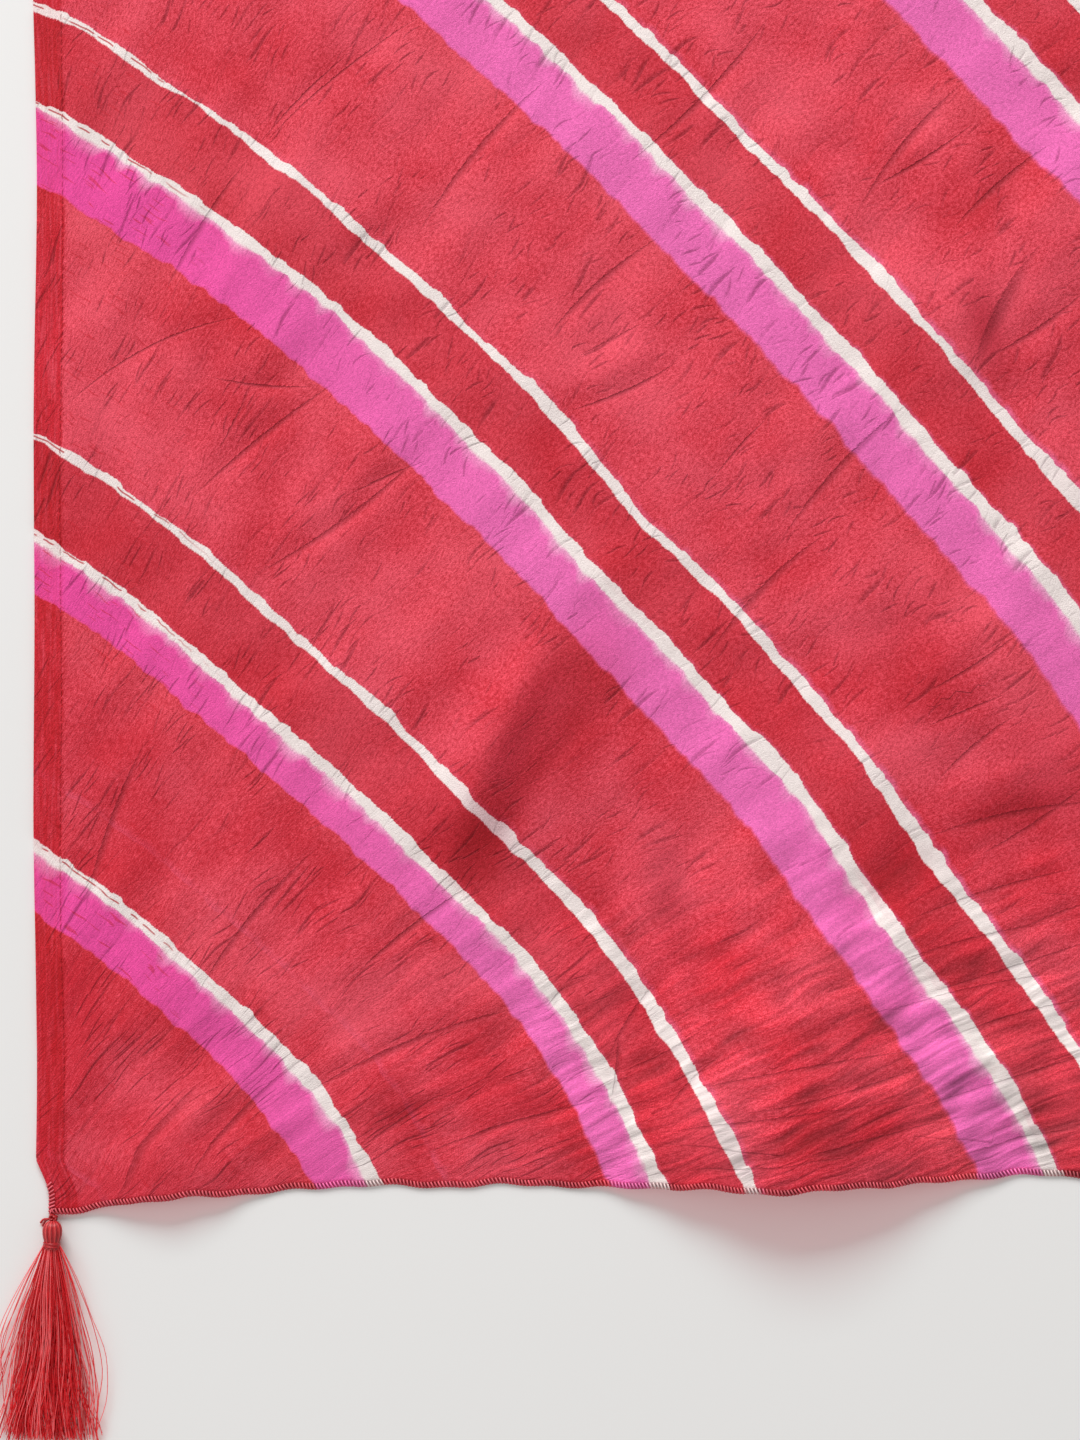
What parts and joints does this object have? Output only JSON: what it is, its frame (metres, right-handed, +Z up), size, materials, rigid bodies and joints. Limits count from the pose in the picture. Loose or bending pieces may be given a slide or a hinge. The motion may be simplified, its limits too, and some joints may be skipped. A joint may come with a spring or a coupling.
{
  "type": "dupatta stole",
  "caption": "Long sheer dupatta stole laid out flat: cloth tie-dyed in curved diagonal stripes, turned side hems, overlocked ends and a silk tassel at each corner.",
  "frame": {"origin": "under the middle of the whole part's box, on the surface that it lies on", "axes": "+Y along the cloth's length, +X across its width, +Z up out of the surface; the pictured corner is the one at -X and -Y"},
  "size_m": [0.9258, 2.4348, 0.019],
  "materials": {
    "dyed_cloth": "sheer crinkled chiffon, soft matt with a slight sheen, resist-dyed in red, pink and white",
    "silk_thread": "glossy twisted silk-look thread"
  },
  "bodies": {
    "root": {"cloth": "dyed_cloth", "tassel_near_left": "silk_thread", "band_near_left": "silk_thread", "tie_near_left": "silk_thread", "tassel_near_right": "silk_thread", "band_near_right": "silk_thread", "tie_near_right": "silk_thread", "tassel_far_left": "silk_thread", "band_far_left": "silk_thread", "tie_far_left": "silk_thread", "tassel_far_right": "silk_thread", "band_far_right": "silk_thread", "tie_far_right": "silk_thread"}
  },
  "joints": []
}
